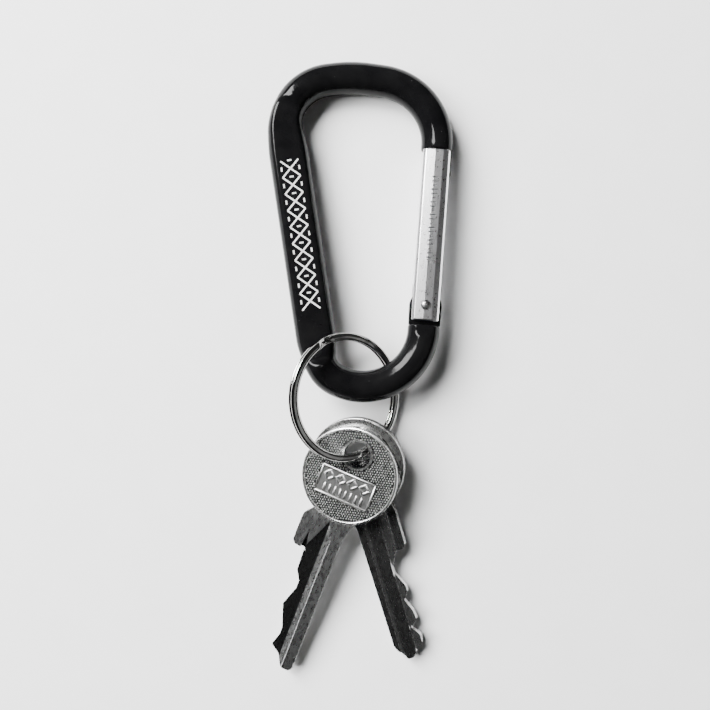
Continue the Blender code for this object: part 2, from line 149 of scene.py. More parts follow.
SPRING_RADIUS = 1.25 * MM
SPRING_LOW = 6.3 * MM
SPRING_HIGH = 18.6 * MM
SPRING_TURNS = 8
STAMP_START = 10.0 * MM
STAMP_END = 30.0 * MM
STAMP_COUNT = 21
STAMP_DEPTH = 0.40 * MM
STAMP_WIDTH = 0.36 * MM
STAMP_X = -0.1 * MM
STAMP_REACH = 0.70 * MM  # half a dash's length
STAMP_SHORT_REACH = 0.38 * MM  # half of every third dash's length

# Split ring, in its own plane
RING_RADIUS = 15.0 * MM
RING_WIRE_WIDTH = 1.8 * MM
RING_WIRE_HEIGHT = 0.95 * MM
RING_WIRE_ROUNDNESS = 2.15
RING_COIL_PITCH = 1.05 * MM
RING_TILT = math.radians(34)
RING_END_ANGLE = math.radians(112)
RING_JOGGLE = math.radians(13)
RING_END_GAP = math.radians(2)
RING_STEP = math.radians(1.5)
RING_TAPER = math.radians(3)
RING_END_SIZE = 0.62  # size of the wire at its two ends

# Keys, each in its own plane: x across, y from the tip towards the bow, from the bow's centre
KEY_THICKNESS = 2.2 * MM
FIELD_DEPTH = 0.36 * MM  # the bow's knurled field lies this far below its rim
HOLE_RIM_WIDTH = 0.50 * MM
HOLE_RIM_DROP = 0.06 * MM
HOLE_STEPS = 16
BOW_POINTS = 160
BLADE_STEP = 0.15 * MM  # the blade's faces lie this far below the bow's rim
KNURL_PITCH = 0.62 * MM  # along a row
KNURL_ROW = 0.56 * MM  # from row to row
KNURL_RADIUS = 0.235 * MM
KNURL_HEIGHT = 0.32 * MM
KNURL_TURN = math.radians(17)
OUTLINE_FILLET = 0.55 * MM
KEY_EDGE = 0.12 * MM
RELIEF_FOOT = 0.05 * MM  # raised work starts this far inside the metal
PANEL_WIDTH = 13.8 * MM
PANEL_HEIGHT = 6.95 * MM
PANEL_Y = -2.9 * MM
PANEL_RAISE = 0.08 * MM
PANEL_BORDER = 0.36 * MM
PANEL_STROKE = 0.5 * MM
PANEL_MOAT = 0.20 * MM
PANEL_MOTIF = 0.27 * MM  # height of the diamonds and bars
PANEL_CORNER = 0.7 * MM
MOTIF_STROKE = 0.62 * MM
DIAMOND_COUNT = 4
DIAMOND_PITCH = 3.0 * MM
DIAMOND_Y = 1.35 * MM  # from the panel's middle
DIAMOND_HALF_WIDTH = 1.2 * MM
DIAMOND_HALF_HEIGHT = 1.15 * MM
BAR_COUNT = 8
BAR_PITCH = 1.35 * MM
BAR_LOW = -2.5 * MM  # from the panel's middle
BAR_HIGH = -0.9 * MM
FRONT_GROOVES = [  # face, (across, depth) points in mm, start and run-out in mm
    (-1, [(-2.2, 0.0), (-2.0, 0.5), (-0.6, 0.5), (-0.4, 0.0)], 12.5, 5.0),
]
REAR_GROOVES = [
    (1, [(-2.6, 0.0), (-2.5, 0.30), (-1.1, 0.0)], 9.0, 3.0),
    (1, [(1.3, 0.0), (1.45, 0.75), (3.7, 0.15), (3.8, 0.0)], 9.0, 3.0),
    (-1, [(-0.6, 0.0), (-0.4, 0.5), (0.6, 0.5), (0.8, 0.0)], 12.5, 5.0),
]
CUT_END = 62.0  # cutters end past the blade's tip, in mm
# The wedge-shaped groove of the front key: (across, depth) points in mm
WEDGE = [(-1.45, 0.0), (-1.3, 0.13), (-1.1, 0.16), (0.15, 0.75), (3.95, 0.25), (4.05, 0.0)]
WEDGE_APEX = (0.43, 11.8)  # the wedge widens from here towards the tip
WEDGE_LENGTH = 8.6
SLIT = [(4.25, -15.4), (3.3, -21.0), (4.85, -21.0)]  # corners in mm
SLIT_FLOOR = -0.3 * MM
BOW_TONE_LOW = -12.5 * MM  # the blade's tone gives way to the bow's between these
BOW_TONE_HIGH = -10.5 * MM
BOW_RECESS_LOW = -11.5 * MM  # and the same for the painted shade tone of the recesses
BOW_RECESS_HIGH = -11.2 * MM
RECESS_LOW = 0.76 * MM  # metal below this height is in a recess and is painted in the recess tone, as shade
RECESS_HIGH = 0.86 * MM
RECESS_FADE = 0.2 * MM
ALL_RECESSES = 1.0  # an x past the key's edge, so that each recess takes the painted recess tone

# Blade points are (across, along from the bow's centre to the tip) in millimetres, bitting side +x:
# the root of the bow, the stop, the cuts, the tip and the straight back.
FRONT_BLADE = [
    (5.2, 10.2), (6.9, 12.2), (7.1, 14.0), (7.1, 19.4), (6.3, 20.2), (3.8, 20.4), (3.6, 25.8),
    (2.2, 28.3), (2.2, 30.2), (3.8, 34.9), (1.9, 40.6), (1.9, 42.3), (2.8, 45.3), (0.6, 46.8),
    (-0.7, 48.9), (-1.5, 49.5), (-3.2, 49.5), (-3.9, 48.7), (-3.9, 15.0), (-4.8, 11.5),
    (-5.6, 10.0),
]
REAR_BLADE = [
    (5.6, 10.0), (6.0, 13.0), (6.0, 20.9), (5.2, 21.8), (3.5, 21.9), (1.4, 25.6), (1.4, 27.4),
    (3.3, 30.8), (3.3, 32.2), (1.9, 34.2), (3.3, 37.0), (3.6, 39.2), (1.5, 41.0), (3.3, 43.0),
    (3.3, 45.0), (1.4, 46.8), (0.2, 48.2), (-1.2, 48.3), (-1.7, 47.3), (-3.0, 46.0), (-3.7, 44.6),
    (-4.3, 15.0), (-4.9, 11.6), (-5.6, 10.0),
]

# Surfaces, camera and floor
FINE_BUMP = 0.006 * MM
CAMERA_PLACE = Vector((-1.2334, 2.846, 199.98)) * MM
CAMERA_LENS = 41.66
CAMERA_SENSOR = 36
FLOOR_HALF = 2.0
FLOOR_GAP = 0.02 * MM  # between the tabletop and the lowest piece


# ---- places and frames ----

def axes_matrix(origin, x_axis, y_axis, z_axis):
    """Matrix that places a plane's own axes in the world."""
    turn = Matrix((x_axis, y_axis, z_axis)).transposed().to_4x4()
    return Matrix.Translation(origin) @ turn


def gate_line():
    """The gate line's pivot point and its direction towards the nose, in the carabiner's plane."""
    low = Vector(CORNERS[0][:2])
    high = Vector(CORNERS[-1][:2])
    along = (high - low).normalized()
    pivot = low + along * ((PIVOT_Y - low.y) / along.y)
    return pivot, along


def carabiner_matrix():
    """The carabiner's plane, found from the gate's hinge, which stands square on it."""
    hinge = joints["gate_hinge"]
    normal = Vector(hinge["axis"]).normalized()
    across = Vector((1, 0, 0))
    up = normal.cross(across).normalized()
    pivot = gate_line()[0]
    turned = axes_matrix(Vector((0, 0, 0)), across, up, normal)
    origin = Vector(hinge["pos_m"]) - turned @ Vector((pivot.x, pivot.y, 0))
    return axes_matrix(origin, across, up, normal)


def gate_matrix():
    """Axes of the gate in the carabiner's plane: y along the gate, x outwards."""
    pivot, along = gate_line()
    turn = math.atan2(along.y, along.x) - math.pi / 2
    return Matrix.Translation((pivot.x, pivot.y, 0)) @ Matrix.Rotation(turn, 4, "Z")


def ring_matrix():
    """The split ring's plane: its centre is the middle of its box, and its left side is up."""
    low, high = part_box("split_ring")
    return Matrix.Translation((low + high) / 2) @ Matrix.Rotation(RING_TILT, 4, "Y")


def key_matrix(joint, heading, pivot):
    """A key's own axes: its joint's axis is its face's normal, and its tip points along the heading."""
    normal = Vector(joints[joint]["axis"]).normalized()
    tip = Vector((math.sin(heading), -math.cos(heading), 0))
    tip.z = -(normal.x * tip.x + normal.y * tip.y) / normal.z
    up = -tip.normalized()
    turned = axes_matrix(Vector((0, 0, 0)), up.cross(normal), up, normal)
    origin = Vector(joints[joint]["pos_m"]) - turned @ Vector((*pivot, 0))
    return Matrix.Translation(origin) @ turned


# ---- mesh helpers ----

def new_object(name, vertices, faces, matrix, sharp=35):
    """A mesh object in its own axes, shaded smooth except at edges sharper than the angle."""
    mesh = bpy.data.meshes.new(name)
    mesh.from_pydata([tuple(v) for v in vertices], [], faces)
    mesh.update()
    mesh.shade_smooth()
    mesh.set_sharp_from_angle(angle=math.radians(sharp))
    made = bpy.data.objects.new(name, mesh)
    bpy.context.collection.objects.link(made)
    made.matrix_world = matrix
    return made


def loft(rings):
    """Join equal rings of points by quads, with a cap at each end."""
    count = len(rings[0])
    last = (len(rings) - 1) * count
    vertices = [point for ring in rings for point in ring]
    faces = []
    for low in range(0, last, count):
        for j in range(count):
            k = (j + 1) % count
            faces.append((low + j, low + k, low + count + k, low + count + j))
    faces.append(tuple(reversed(range(count))))
    faces.append(tuple(range(last, last + count)))
    return vertices, faces


def prism(points, low, high):
    """An outline in x, y drawn counter-clockwise, between two heights."""
    return loft([[(x, y, z) for x, y in points] for z in (low, high)])


def joined(shapes):
    """Several closed shapes as one set of vertices and faces."""
    vertices = []
    faces = []
    for new_vertices, new_faces in shapes:
        faces += [tuple(i + len(vertices) for i in face) for face in new_faces]
        vertices += new_vertices
    return vertices, faces


def arc(centre, radius, first, sweep, steps):
    """Points along an arc, both ends included."""
    angles = [first + sweep * step / steps for step in range(steps + 1)]
    return [(centre[0] + radius * math.cos(a), centre[1] + radius * math.sin(a)) for a in angles]


def circle(radius, count, centre=(0.0, 0.0)):
    """Points of a circle, counter-clockwise."""
    return arc(centre, radius, 0, 2 * math.pi, count)[:-1]


def rectangle(x_low, x_high, y_low, y_high):
    """Corners of a rectangle, counter-clockwise."""
    return [(x_low, y_low), (x_high, y_low), (x_high, y_high), (x_low, y_high)]


def rounded_rectangle(width, height, corner, steps):
    """Points of a rounded rectangle about the origin, counter-clockwise."""
    points = []
    for quarter in range(4):
        centre_x = (width / 2 - corner) * (1 if quarter in (0, 3) else -1)
        centre_y = (height / 2 - corner) * (1 if quarter in (0, 1) else -1)
        points += arc((centre_x, centre_y), corner, math.pi / 2 * quarter, math.pi / 2, steps)
    return points


def oval(width, height, roundness, count):
    """Points of a squarish oval about the origin, counter-clockwise: 2 is an ellipse."""
    points = []
    for x, y in circle(1.0, count):
        points.append((width / 2 * math.copysign(abs(x) ** (2 / roundness), x),
                       height / 2 * math.copysign(abs(y) ** (2 / roundness), y)))
    return points


def filleted(points, radius, steps):
    """An outline with each corner rounded by an arc, as large as its sides allow."""
    rounded = []
    count = len(points)
    for i in range(count):
        corner = Vector(points[i])
        entering = corner - Vector(points[i - 1])
        leaving = Vector(points[(i + 1) % count]) - corner
        turn = entering.angle_signed(leaving)
        if abs(turn) < math.radians(8):
            rounded.append(tuple(corner))
            continue
        reach = min(radius * math.tan(abs(turn) / 2), 0.45 * entering.length, 0.45 * leaving.length)
        start = corner - entering.normalized() * reach
        end = corner + leaving.normalized() * reach
        for step in range(steps + 1):
            share = step / steps
            pull = 2 * share * (1 - share)
            rounded.append(tuple(start * (1 - share) ** 2 + corner * pull + end * share ** 2))
    return rounded


def cut(target, vertices, faces, operation="DIFFERENCE"):
    """Apply a Boolean with a closed shape given in the target's own axes."""
    tool = new_object("tool", vertices, faces, target.matrix_world)
    boolean = target.modifiers.new("boolean", "BOOLEAN")
    boolean.operation = operation
    boolean.solver = "EXACT"
    boolean.object = tool
    apply_modifiers(target)
    bpy.data.objects.remove(tool, do_unlink=True)


def apply_modifiers(target):
    """Replace an object's mesh by what its modifiers make of it."""
    bpy.context.view_layer.update()
    evaluated = target.evaluated_get(bpy.context.evaluated_depsgraph_get())
    mesh = bpy.data.meshes.new_from_object(evaluated)
    target.modifiers.clear()
    target.data = mesh


def soften(target, width, segments, sharp):
    """Round the sharp edges, and shade what is left smooth."""
    target.data.set_sharp_from_angle(angle=math.radians(sharp))
    bevel = target.modifiers.new("edges", "BEVEL")
    bevel.width = width
    bevel.segments = segments
    bevel.limit_method = "ANGLE"
    bevel.angle_limit = math.radians(sharp)
    bevel.harden_normals = True
    bevel.use_clamp_overlap = True
    apply_modifiers(target)


def crisp(target, sharp):
    """Smooth shading that leaves large flat faces flat and breaks at sharp edges."""
    target.data.shade_smooth()
    target.data.set_sharp_from_angle(angle=math.radians(sharp))
    weighted = target.modifiers.new("normals", "WEIGHTED_NORMAL")
    weighted.keep_sharp = True
    weighted.weight = 100
    apply_modifiers(target)


def blend(value, start, end):
    """Smooth step from 0 at start to 1 at end."""
    amount = max(0.0, min(1.0, (value - start) / (end - start)))
    return amount * amount * (3 - 2 * amount)


def install(piece, surface, body, slot, *nodes):
    """Give a piece its surface and its body, and hide the nodes it replaces. Its finish slot is not
    used.
    """
    piece.data.materials.clear()
    piece.data.materials.append(surface)
    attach(piece, body)
    if nodes:
        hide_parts(*nodes)


# ---- surface nodes ----

class Surface:
    """A node material with a few short helpers."""

    def __init__(self, name, colour, metallic, roughness):
        self.material = bpy.data.materials.new(name)
        self.material.use_nodes = True
        self.nodes = self.material.node_tree.nodes
        self.links = self.material.node_tree.links
        self.shader = self.nodes["Principled BSDF"]
        self.shader.inputs["Base Color"].default_value = (*colour, 1.0)
        self.shader.inputs["Metallic"].default_value = metallic
        self.shader.inputs["Roughness"].default_value = roughness
        self.place = self.nodes.new("ShaderNodeTexCoord").outputs["Object"]

    def stretched(self, scale):
        """Object coordinates scaled by a vector, in patterns per metre."""
        mapping = self.nodes.new("ShaderNodeMapping")
        mapping.inputs["Scale"].default_value = scale
        self.links.new(self.place, mapping.inputs["Vector"])
        return mapping.outputs["Vector"]

    def noise(self, scale, detail=3.0, rough=0.5):
        """Noise from 0 to 1 whose scale may differ along each axis."""
        texture = self.nodes.new("ShaderNodeTexNoise")
        texture.inputs["Scale"].default_value = 1.0
        texture.inputs["Detail"].default_value = detail
        texture.inputs["Roughness"].default_value = rough
        self.links.new(self.stretched(scale), texture.inputs["Vector"])
        return texture.outputs["Fac"]

    def cells(self, scale):
        """Distance to the nearest of scattered points."""
        texture = self.nodes.new("ShaderNodeTexVoronoi")
        texture.inputs["Scale"].default_value = 1.0
        self.links.new(self.stretched(scale), texture.inputs["Vector"])
        return texture.outputs["Distance"]

    def levels(self, value, low, high, out_low=0.0, out_high=1.0):
        """Map a value from one range to another, clamped."""
        mapped = self.nodes.new("ShaderNodeMapRange")
        mapped.inputs["From Min"].default_value = low
        mapped.inputs["From Max"].default_value = high
        mapped.inputs["To Min"].default_value = out_low
        mapped.inputs["To Max"].default_value = out_high
        self.links.new(value, mapped.inputs["Value"])
        return mapped.outputs["Result"]

    def mix(self, factor, first, second):
        """Mix two colours by a factor."""
        mixed = self.nodes.new("ShaderNodeMix")
        mixed.data_type = "RGBA"
        self.links.new(factor, mixed.inputs["Factor"])
        for socket, colour in (("A", first), ("B", second)):
            target = [i for i in mixed.inputs if i.name == socket and i.type == "RGBA"][0]
            if isinstance(colour, tuple):
                target.default_value = (*colour, 1.0)
            else:
                self.links.new(colour, target)
        return [o for o in mixed.outputs if o.type == "RGBA"][0]

    def combined(self, operation, *values):
        """One or two values put through a maths node."""
        node = self.nodes.new("ShaderNodeMath")
        node.operation = operation
        for index, value in enumerate(values):
            self.links.new(value, node.inputs[index])
        return node.outputs[0]

    def bump(self, height, distance):
        """Add a bump on top of the bumps added before."""
        node = self.nodes.new("ShaderNodeBump")
        node.inputs["Distance"].default_value = distance
        self.links.new(height, node.inputs["Height"])
        normal = self.shader.inputs["Normal"]
        if normal.links:
            self.links.new(normal.links[0].from_socket, node.inputs["Normal"])
        self.links.new(node.outputs["Normal"], normal)

    def set(self, socket, value):
        """Drive one of the shader's sockets."""
        self.links.new(value, self.shader.inputs[socket])


def black_anodised():
    """Glossy black with faint lengthwise grain, cloudy patches and fine dust."""
    look = Surface("black_anodised_look", (0.006, 0.006, 0.0065), 0.0, 0.12)
    look.shader.inputs["IOR"].default_value = 1.22
    grain = look.noise((2600, 700, 2600), 4.0, 0.6)
    cloud = look.noise((160, 160, 160), 3.0)
    specks = look.levels(look.cells((900, 900, 900)), 0.05, 0.11, 1.0, 0.0)
    sparse = look.levels(look.noise((210, 210, 210), 2.0), 0.60, 0.68)
    dust = look.combined("MULTIPLY", specks, sparse)
    patches = look.levels(cloud, 0.35, 0.7)
    base = look.mix(patches, (0.0025, 0.0025, 0.0028), (0.005, 0.005, 0.0052))
    look.set("Base Color", look.mix(dust, base, (0.05, 0.05, 0.05)))
    look.set("Roughness", look.levels(cloud, 0.3, 0.75, 0.08, 0.13))
    look.bump(grain, FINE_BUMP)
    look.bump(look.noise((420, 420, 420), 2.0), 0.03 * MM)
    return look.material


def white_print():
    """Matt white screen print with small worn spots."""
    look = Surface("white_print_look", (0.62, 0.62, 0.61), 0.0, 0.6)
    wear = look.levels(look.noise((1900, 1900, 1900), 3.0, 0.7), 0.58, 0.70)
    look.set("Base Color", look.mix(wear, (0.62, 0.62, 0.61), (0.16, 0.16, 0.16)))
    look.bump(wear, 0.02 * MM)
    return look.material


def polished_aluminium():
    """Bright drawn aluminium: lines along the bar, a speckled bloom and small dark pits."""
    look = Surface("polished_aluminium_look", (0.86, 0.86, 0.87), 1.0, 0.22)
    lines = look.noise((5200, 120, 5200), 3.0, 0.6)
    bloom = look.noise((1500, 900, 1500), 5.0, 0.75)
    pits = look.levels(look.cells((520, 330, 520)), 0.02, 0.07, 1.0, 0.0)
    tone = look.mix(look.levels(bloom, 0.45, 0.72), (0.97, 0.97, 0.98), (0.80, 0.80, 0.81))
    look.set("Base Color", look.mix(pits, tone, (0.10, 0.10, 0.10)))
    look.set("Roughness", look.levels(bloom, 0.3, 0.7, 0.25, 0.36))
    look.bump(lines, FINE_BUMP)
    look.bump(bloom, FINE_BUMP)
    return look.material


def nickel_plate():
    """Mirror-like nickel on the wire, with drawing streaks and a little tarnish."""
    look = Surface("nickel_plate_look", (0.60, 0.60, 0.59), 1.0, 0.08)
    streaks = look.noise((900, 900, 6000), 3.0, 0.6)
    tarnish = look.noise((260, 260, 260), 4.0, 0.6)
    dulled = look.levels(tarnish, 0.45, 0.75)
    look.set("Base Color", look.mix(dulled, (0.54, 0.54, 0.53), (0.26, 0.26, 0.255)))
    look.set("Roughness", look.levels(tarnish, 0.3, 0.8, 0.05, 0.16))
    look.bump(streaks, FINE_BUMP)
    return look.material


def spring_steel():
    """Satin steel with fine grain and darker patches."""
    look = Surface("spring_steel_look", (0.50, 0.50, 0.51), 1.0, 0.28)
    marks = look.noise((7000, 7000, 7000), 2.0)
    patches = look.noise((600, 600, 600), 3.0)
    darker = look.levels(patches, 0.4, 0.7)
    look.set("Base Color", look.mix(darker, (0.62, 0.62, 0.62), (0.30, 0.30, 0.30)))
    look.set("Roughness", look.levels(patches, 0.3, 0.7, 0.16, 0.42))
    look.bump(marks, FINE_BUMP)
    return look.material


def key_metal(name, tone, blade_tone, bow_recess_shade, blade_recess_painted_tone, roughness, recess_from):
    """Nickel silver, milled along the blade, with soft stains, a tone of its own on the blade, and
    painted shade in the recesses: metal below a set height is painted in a darker recess tone.

    On the blade, only the recesses on the side below recess_from take the painted recess tone; where
    the blade's recess tone is lighter than the blade, it is a painted highlight in place of painted
    shade.
    """
    look = Surface(name, (tone, tone, tone), 1.0, roughness)
    split = look.nodes.new("ShaderNodeSeparateXYZ")
    look.links.new(look.place, split.inputs["Vector"])
    height = look.combined("ABSOLUTE", split.outputs["Z"])
    milling = look.noise((6500, 260, 6500), 3.0, 0.65)
    stains = look.levels(look.noise((420, 420, 420), 4.0, 0.6), 0.35, 0.72)
    grain = look.noise((2600, 900, 2600), 2.0, 0.6)
    metal = look.mix(stains, (tone, tone, 0.985 * tone), (0.78 * tone, 0.78 * tone, 0.77 * tone))
    blade = look.mix(stains, (blade_tone, blade_tone, blade_tone), (0.7 * blade_tone,) * 3)
    along_blade = look.levels(split.outputs["Y"], BOW_TONE_LOW, BOW_TONE_HIGH, 1.0, 0.0)
    metal = look.mix(along_blade, metal, blade)
    # Painted shade by height: metal below RECESS_LOW takes the recess tone, darker than the metal on
    # the bow; on the blade it takes the blade's recess tone, which is painted shade when darker and a
    # painted highlight when lighter.
    painted_recess_mask = look.levels(height, RECESS_LOW, RECESS_HIGH, 1.0, 0.0)
    aside = look.levels(split.outputs["X"], recess_from, recess_from - RECESS_FADE)
    on_bow = look.levels(split.outputs["Y"], BOW_RECESS_LOW, BOW_RECESS_HIGH)
    painted_recess_mask = look.combined("MULTIPLY", painted_recess_mask, look.combined("MAXIMUM", aside, on_bow))
    painted_recess_tone = look.mix(on_bow, (blade_recess_painted_tone,) * 3, (bow_recess_shade,) * 3)
    look.set("Base Color", look.mix(painted_recess_mask, metal, painted_recess_tone))
    look.set("Roughness", look.levels(grain, 0.25, 0.75, roughness - 0.04, roughness + 0.07))
    look.bump(milling, 0.008 * MM)
    look.bump(grain, 0.004 * MM)
    return look.material


# ---- carabiner body ----

def bend(before, corner, after, radius):
    """Points and directions along the arc that rounds a corner."""
    entering = (corner - before).normalized()
    leaving = (after - corner).normalized()
    turn = entering.angle_signed(leaving)
    reach = radius * math.tan(abs(turn) / 2)
    side = Vector((-entering.y, entering.x)) * (-1 if turn > 0 else 1)
    start = corner - entering * reach
    centre = start + side * radius
    steps = max(6, round(abs(turn) / BEND_STEP))
    stations = []
    for step in range(steps + 1):
        angle = -turn * step / steps
        arm = Matrix.Rotation(angle, 2) @ (start - centre)
        stations.append((centre + arm, Matrix.Rotation(angle, 2) @ entering))
    return stations


def straight(start, end):
    """Stations along a straight stretch, not counting its two ends."""
    point, heading = start
    length = (end - point).length
    count = int(length / STRAIGHT_STEP)
    return [(point + heading * (length * (i + 1) / (count + 1)), heading) for i in range(count)]


def rod_stations():
    """Centreline stations from the hinge's shoulder to the nose: point and direction."""
    pivot, along = gate_line()
    nose = pivot + along * ((NOSE_Y - NOSE_ROUNDING - PIVOT_Y) / along.y)
    turning = [Vector(corner[:2]) for corner in CORNERS]
    path = [pivot, *turning, nose]
    stations = []
    for index, (_, _, radius) in enumerate(CORNERS):
        turned = bend(*path[index:index + 3], radius)
        if stations:
            stations += straight(stations[-1], turned[0][0])
        stations += turned
    stations.append((nose, (nose - turning[-1]).normalized()))
    return stations


def smooth_minimum(value, limit, rounding):
    """The smaller of two values, with a rounded change-over."""
    share = max(0.0, rounding - abs(value - limit)) / rounding
    return min(value, limit) - share * share * rounding / 4


def in_plane(point, heading, section, offset=0.0, slant=0.0, width=1.0):
    """A section's points across the heading, in the carabiner's plane."""
    right = Vector((heading.y, -heading.x))
    ring = []
    for across, up in section:
        place = point + right * (across + offset) + heading * (slant * (across / width + 0.5))
        ring.append((place.x, place.y, -up))
    return ring


def rod_section(point, pivot, along):
    """The rod's section at a point: an oval bar, clipped where the dies have pressed it flat."""
    half_width = ROD / 2
    clip = ROD / 2 + SPINE_EDGE
    if point.x < 0:
        wide = blend(point.y, SPINE_LOW, SPINE_LOW + SPINE_LOW_CHANGE)
        wide *= 1 - blend(point.y, SPINE_HIGH - SPINE_HIGH_CHANGE, SPINE_HIGH)
        half_width += wide * (SPINE_WIDTH - ROD) / 2
        pressed = blend(point.y, PRESS_LOW, PRESS_LOW + PRESS_RUNOUT)
        pressed *= 1 - blend(point.y, PRESS_HIGH - PRESS_RUNOUT, PRESS_HIGH)
        clip += pressed * (SPINE_THICKNESS / 2 - clip)
    level = (point - pivot).dot(along)
    if HINGE_FLAT_LOW < level < 0 < point.x:
        pressed = blend(level, HINGE_FLAT_LOW, HINGE_FLAT_LOW + HINGE_FLAT_RUNOUT)
        clip += pressed * (HINGE_FLAT_THICKNESS / 2 - clip)
    section = []
    for across, up in circle(1.0, SECTION_POINTS):
        height = smooth_minimum(abs(up) * ROD / 2, clip, SPINE_EDGE)
        section.append((across * half_width, math.copysign(max(height, 0.0), up)))
    return section


def lug_sections(pivot, along):
    """The hinge lug from the plunger's flat down to the shoulder."""
    corner_steps = SECTION_POINTS // 4 - 1
    rings = []
    top = math.acos(LUG_FLAT / LUG_RADIUS)
    for step in range(13):
        angle = top + (math.pi / 2 - top) * step / 12
        level = pivot + along * (LUG_RADIUS * math.cos(angle))
        width = 2 * LUG_RADIUS * math.sin(angle)
        section = rounded_rectangle(width, LUG_THICKNESS, LUG_CORNER, corner_steps)
        rings.append(in_plane(level, -along, section))
    shoulder = pivot + along * LUG_SHOULDER
    section = rounded_rectangle(2 * LUG_RADIUS - LUG_EASE, LUG_THICKNESS, LUG_CORNER, corner_steps)
    rings.append(in_plane(shoulder, -along, section))
    return rings


def scaled(section, factor):
    """A section shrunk about its middle."""
    return [(across * factor, up * factor) for across, up in section]


def build_carabiner():
    """The bent rod: hinge lug, round bends, pressed spine, nose and tongue in one piece."""
    pivot, along = gate_line()
    shoulder = pivot + along * LUG_SHOULDER
    full = rod_section(shoulder, pivot, along)
    rings = lug_sections(pivot, along)
    for step in range(5):
        angle = math.pi / 2 * step / 4
        drop = HINGE_CHAMFER * (1 - math.cos(angle))
        shrink = 1 - HINGE_CHAMFER / ROD * 2 * (1 - math.sin(angle))
        rings.append(in_plane(shoulder - along * drop, -along, scaled(full, shrink)))
    stations = rod_stations()
    for point, direction in stations:
        rings.append(in_plane(point, direction, rod_section(point, pivot, along)))
    last = stations[-1][0]
    end_section = rod_section(last, pivot, along)
    for step in range(1, 5):
        angle = math.pi / 2 * step / 4
        point = last - along * (NOSE_ROUNDING * math.sin(angle))
        shrink = 1 - NOSE_ROUNDING / ROD * 2 * (1 - math.cos(angle))
        rings.append(in_plane(point, -along, scaled(end_section, shrink)))
    nose = last - along * NOSE_ROUNDING
    width = TONGUE_OUTER - TONGUE_INNER
    middle = (TONGUE_INNER + TONGUE_OUTER) / 2
    tongue = rounded_rectangle(width, TONGUE_THICKNESS, LUG_CORNER, SECTION_POINTS // 4 - 1)
    rings.append(in_plane(nose, -along, tongue, -middle))
    rings.append(in_plane(pivot + along * TONGUE_LOW, -along, tongue, -middle, -TONGUE_SLANT, width))
    body = new_object("carabiner", *loft(rings), carabiner_matrix(), 40)
    cut(body, *prism(circle(RIVET_RADIUS + RIVET_CLEARANCE, 48, tuple(pivot)), -ROD, ROD))
    body.data.set_sharp_from_angle(angle=math.radians(40))
    return body


# ---- printed ornament ----

def stroke(start, end, width):
    """A straight stroke with square ends, as an outline."""
    start, end = Vector(start), Vector(end)
    side = (end - start).normalized().orthogonal() * width / 2
    return [tuple(start + side), tuple(start - side), tuple(end - side), tuple(end + side)]


def counter_clockwise(points):
    """The outline, turned round if it runs clockwise."""
    area = sum(a[0] * b[1] - b[0] * a[1] for a, b in zip(points, points[1:] + points[:1]))
    return points if area > 0 else points[::-1]


def joined_prisms(outlines, low, high):
    """Prisms of several outlines as one set of vertices and faces."""
    return joined([prism(counter_clockwise(outline), low, high) for outline in outlines])


def build_band():
    """A plain printed band along the spine: crossed strokes with ticks and dashes between them."""
    low = Vector(CORNERS[1][:2])
    high = Vector(CORNERS[2][:2])
    along = (high - low).normalized()
    turn = Matrix.Rotation(math.atan2(along.y, along.x) - math.pi / 2, 4, "Z")
    origin = low + along * ((BAND_START - low.y) / along.y)
    matrix = carabiner_matrix() @ Matrix.Translation((origin.x, origin.y, SPINE_THICKNESS / 2)) @ turn
    length = (BAND_END - BAND_START) / along.y
    pitch = length / BAND_UNITS
    half = BAND_HEIGHT / 2
    outlines = []
    for unit in range(BAND_UNITS):
        start = unit * pitch
        crossing = (0, start + pitch / 2)
        end = start + pitch
        tick_low, tick_high = [start + pitch * share for share in BAND_TICK]
        for side in (-half, half):
            outlines.append(stroke((side, start), crossing, BAND_STROKE))
            outlines.append(stroke(crossing, (side, end), BAND_STROKE))
            outlines.append(stroke((side, tick_low), (side, tick_high), BAND_STROKE))
        outlines.append(stroke((-BAND_DASH * pitch, end), (BAND_DASH * pitch, end), BAND_STROKE))
    return new_object("spine_print", *joined_prisms(outlines, -BAND_RAISE, BAND_RAISE), matrix)


# ---- gate ----

def gate_section():
    """The gate's section: shallow facets above and below, steeper ones beside them, upright sides."""
    half = GATE_WIDTH / 2
    top = GATE_THICKNESS / 2
    upper = [(x * half, z * top) for x, z in GATE_FACETS]
    lower = [(x, -z) for x, z in reversed(upper)]
    return filleted(upper + lower, GATE_ROUNDING, 4)


def turned_along_y(profile, count):
    """Circles of (radius, y) about the y axis."""
    return loft([[(x, y, -z) for x, z in circle(radius, count)] for radius, y in profile])


def box(x_range, y_range, z_range):
    """Vertices and faces of a box."""
    return prism(rectangle(*x_range, *y_range), *z_range)


